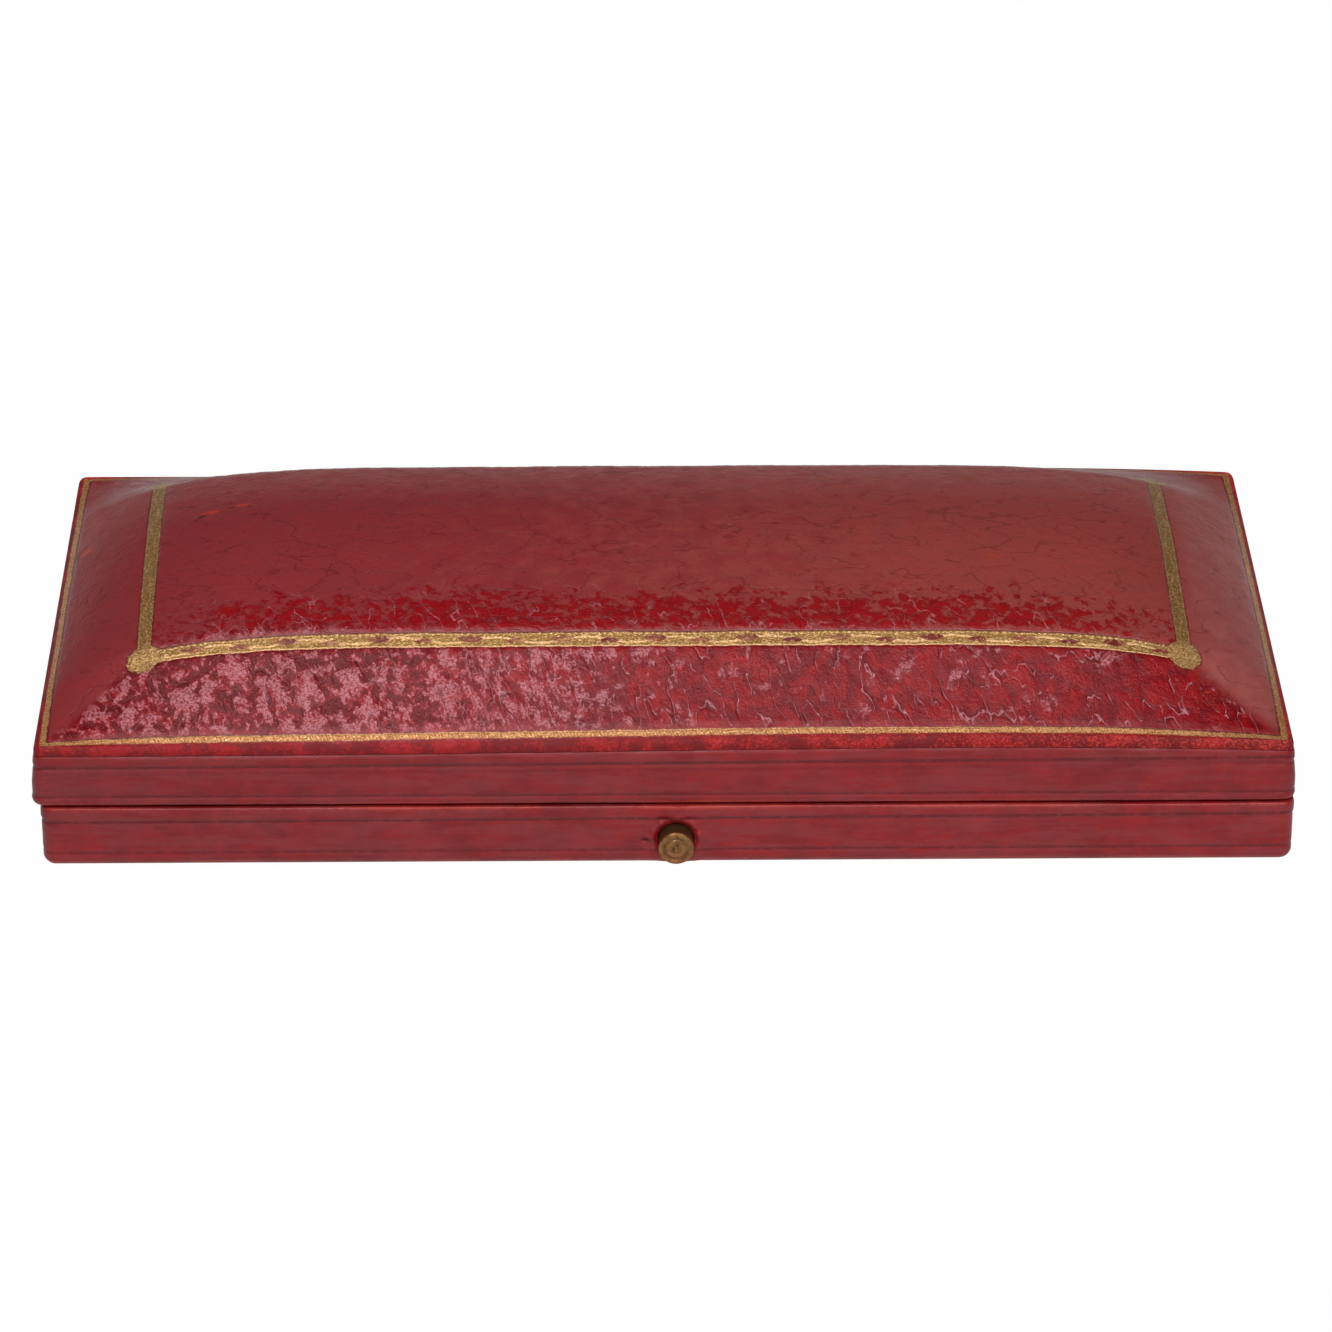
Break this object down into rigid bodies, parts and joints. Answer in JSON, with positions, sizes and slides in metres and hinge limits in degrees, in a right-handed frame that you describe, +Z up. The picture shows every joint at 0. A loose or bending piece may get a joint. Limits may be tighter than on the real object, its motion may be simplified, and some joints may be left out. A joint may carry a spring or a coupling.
{
  "type": "cufflink box",
  "caption": "Low leather-covered jewellery case with a domed gilt-tooled lid on rear hinges, opened by a push button at the front.",
  "frame": {"origin": "middle of the underside of the base", "axes": "+X along the length to the viewer's right, -Y out of the front with the button, +Z up"},
  "size_m": [0.13, 0.0654, 0.0233],
  "materials": {
    "red_leather": "grained red morocco with gilt and blind tooling, worn at the edges",
    "bottom_leather": "matt red leather, lightly scuffed",
    "limewood": "plain sanded limewood",
    "ivory_velvet": "ivory silk velvet",
    "cream_satin": "cream silk satin",
    "card": "grey-brown pasteboard",
    "brass": "turned brass, tarnished",
    "spring_steel": "blued spring steel"
  },
  "bodies": {
    "base": {"base_board": "limewood", "base_front_rail": "limewood", "base_back_rail": "limewood", "base_left_rail": "limewood", "base_right_rail": "limewood", "base_side_leather": "red_leather", "base_bottom_leather": "bottom_leather", "collar_front": "ivory_velvet", "collar_back": "ivory_velvet", "collar_left": "ivory_velvet", "collar_right": "ivory_velvet", "pad_card": "card", "velvet_pad": "ivory_velvet", "hinge_base_leaf_left": "brass", "hinge_base_leaf_right": "brass", "hinge_pin_left": "brass", "hinge_pin_right": "brass", "base_leaf_nail_left_inner": "brass", "base_leaf_nail_left_outer": "brass", "base_leaf_nail_right_inner": "brass", "base_leaf_nail_right_outer": "brass", "strike_plate": "brass", "strike_pin_left": "brass", "strike_pin_right": "brass", "latch_spring": "spring_steel"},
    "lid": {"lid_panel": "limewood", "lid_front_rail": "limewood", "lid_back_rail": "limewood", "lid_left_rail": "limewood", "lid_right_rail": "limewood", "lid_side_leather": "red_leather", "lid_top_leather": "red_leather", "lid_lining_front": "cream_satin", "lid_lining_back": "cream_satin", "lid_lining_left": "cream_satin", "lid_lining_right": "cream_satin", "lid_pad_card": "card", "lid_satin_pad": "cream_satin", "hinge_lid_leaf_left": "brass", "hinge_lid_leaf_right": "brass", "lid_leaf_nail_left_inner": "brass", "lid_leaf_nail_left_outer": "brass", "lid_leaf_nail_right_inner": "brass", "lid_leaf_nail_right_outer": "brass", "lid_hook": "brass", "hook_pin_left": "brass", "hook_pin_right": "brass"},
    "button": {"push_button": "brass", "latch_slide": "brass"}
  },
  "joints": [
    {"name": "lid_hinge", "type": "hinge", "parent": "base", "child": "lid", "pos_m": [0, 0.0308, 0.00725], "axis": [-1, 0, 0], "range_deg": [0, 100]},
    {"name": "button_slide", "type": "slide", "parent": "base", "child": "button", "axis": [0, 1, 0], "range_m": [0, 0.0008], "stiffness_N_per_m": 400, "springref_m": -0.001, "deforming": ["latch_spring"]}
  ]
}
